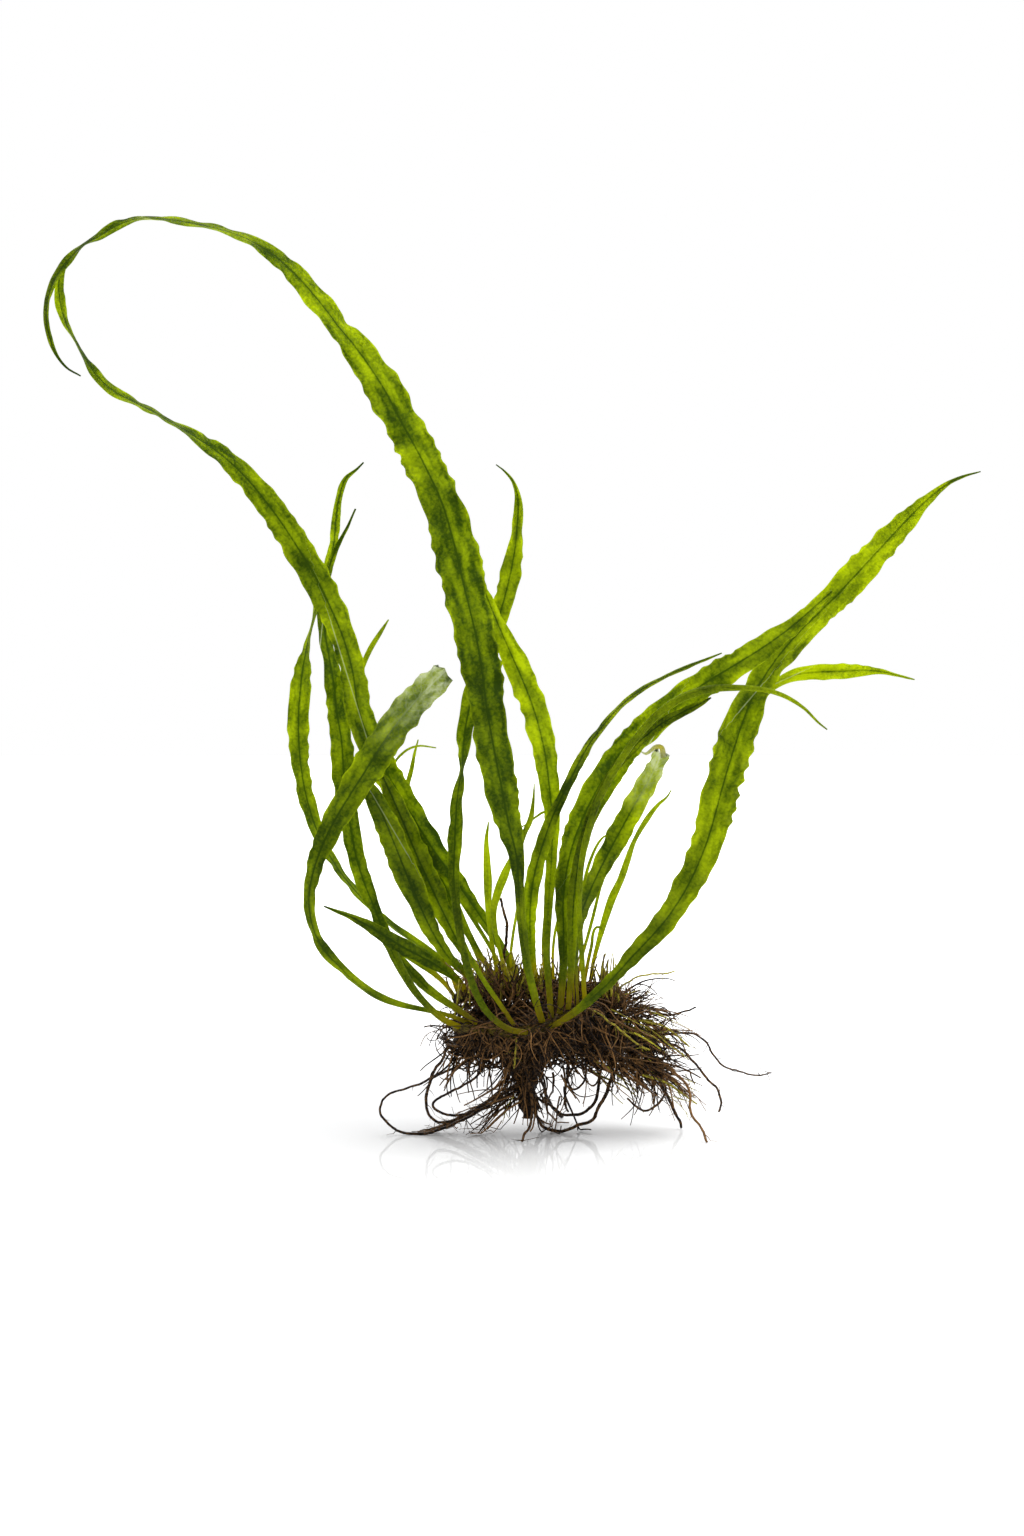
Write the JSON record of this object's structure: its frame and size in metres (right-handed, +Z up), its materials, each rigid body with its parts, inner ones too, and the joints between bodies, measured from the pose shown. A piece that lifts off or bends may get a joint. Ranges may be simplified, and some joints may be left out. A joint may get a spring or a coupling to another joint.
{
  "type": "java fern",
  "caption": "Bare-rooted narrow-leaved java fern: long wavy strap fronds fan out from creeping rhizomes over a tangle of dark roots it stands on.",
  "frame": {"origin": "middle of the flat foot of the root column, on the surface the plant stands on", "axes": "+Z up, +X to the viewer's right and +Y away from the viewer, as the plant is seen from the front"},
  "size_m": [0.2622, 0.0799, 0.2552],
  "materials": {
    "leaf": "thin translucent leaf, slightly waxy",
    "young_leaf": "thin translucent young leaf",
    "rhizome": "scaly, matt",
    "root_mat": "matted fine fibres, matt",
    "root": "thin wiry fibre, slightly wet",
    "young_root": "thin fresh fibre, slightly wet"
  },
  "bodies": {
    "root": {"rhizome_main": "rhizome", "rhizome_front": "rhizome", "root_mat": "root_mat", "frond_front_arch": "leaf", "frond_left_arch": "leaf", "frond_far_left": "leaf", "frond_left_wavy": "leaf", "frond_torn": "leaf", "frond_left_low": "leaf", "frond_left_inner_1": "leaf", "frond_left_inner_2": "leaf", "frond_left_inner_3": "leaf", "frond_left_short": "leaf", "frond_left_pale": "young_leaf", "frond_centre_twisted": "leaf", "frond_centre_bright": "leaf", "frond_right_narrow": "leaf", "frond_right_broad": "leaf", "frond_right_long": "leaf", "frond_right_drooping": "leaf", "frond_right_folded": "leaf", "frond_right_small": "leaf", "frond_worn_tip": "leaf", "frond_hidden_right": "leaf", "frond_slim": "young_leaf", "frond_hidden_left_1": "leaf", "frond_hidden_left_2": "leaf", "frond_hidden_left_3": "leaf", "frond_small_centre": "leaf", "frond_small_crossing": "leaf", "plantlet_leaf_1": "young_leaf", "plantlet_leaf_2": "young_leaf", "young_frond": "young_leaf", "stalk_right": "young_leaf", "stalk_centre_1": "young_leaf", "stalk_centre_2": "young_leaf", "stalk_left_front": "young_leaf", "root_left_loop": "root", "root_left_bundle": "root", "root_left_inner_loop": "root", "root_left_curl": "root", "root_left_high": "root", "root_right_loop": "root", "root_right_inner": "root", "root_right_upright": "root", "root_right_ring": "root", "root_front_foot": "root", "root_back_foot": "root", "root_right_trailing": "root", "root_right_arching": "root", "root_right_hook": "root", "root_right_foot": "root", "root_right_low_ring": "root", "root_right_bundle": "root", "root_right_yellow": "young_root", "root_right_green": "young_root", "root_right_tip": "root", "root_right_upper": "young_root", "root_centre_pale": "young_root", "root_upright": "root"}
  },
  "joints": []
}
